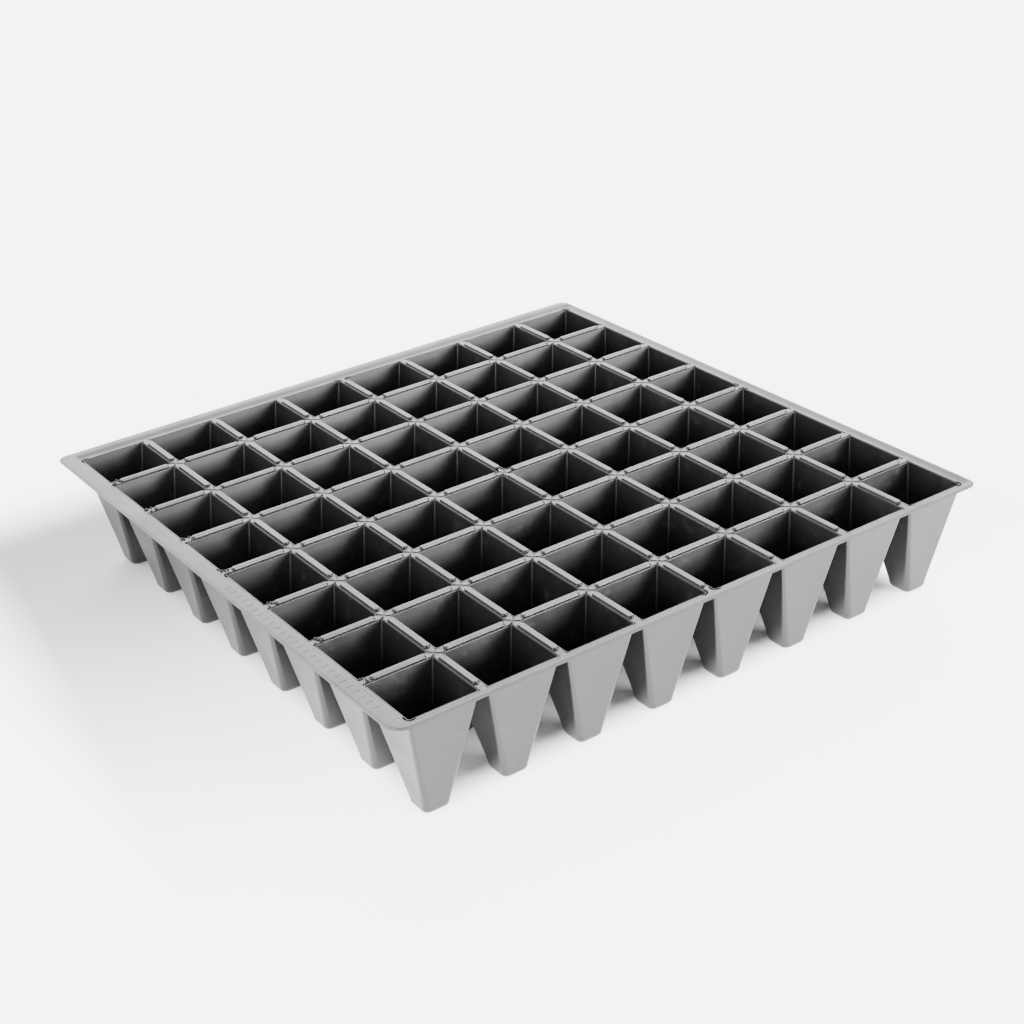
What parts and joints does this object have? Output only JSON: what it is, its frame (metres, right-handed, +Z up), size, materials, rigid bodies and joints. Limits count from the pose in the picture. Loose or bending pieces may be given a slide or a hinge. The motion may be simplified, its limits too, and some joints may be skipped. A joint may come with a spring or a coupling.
{
  "type": "plug tray",
  "caption": "Square deep-cell seedling plug tray: open tapered pots with drain holes hang from a ribbed deck inside a flat carrying rim.",
  "frame": {"origin": "on the floor under the centre of the trimmed outline", "axes": "+Z up through the open mouths, X and Y along the two rows of cells, -Y is the front rim"},
  "size_m": [0.34, 0.34, 0.06],
  "materials": {
    "tray_sheet": "satin black thermoformed sheet"
  },
  "bodies": {
    "root": {"cell_row_1": "tray_sheet", "cell_row_2": "tray_sheet", "cell_row_3": "tray_sheet", "cell_row_4": "tray_sheet", "cell_row_5": "tray_sheet", "cell_row_6": "tray_sheet", "cell_row_7": "tray_sheet", "cell_row_8": "tray_sheet", "rib_column_1": "tray_sheet", "rib_column_2": "tray_sheet", "rib_column_3": "tray_sheet", "rib_column_4": "tray_sheet", "rib_column_5": "tray_sheet", "rib_column_6": "tray_sheet", "rib_column_7": "tray_sheet", "rib_row_1": "tray_sheet", "rib_row_2": "tray_sheet", "rib_row_3": "tray_sheet", "rib_row_4": "tray_sheet", "rib_row_5": "tray_sheet", "rib_row_6": "tray_sheet", "rib_row_7": "tray_sheet", "rim_front": "tray_sheet", "rim_back": "tray_sheet", "rim_left": "tray_sheet", "rim_right": "tray_sheet"}
  },
  "joints": []
}
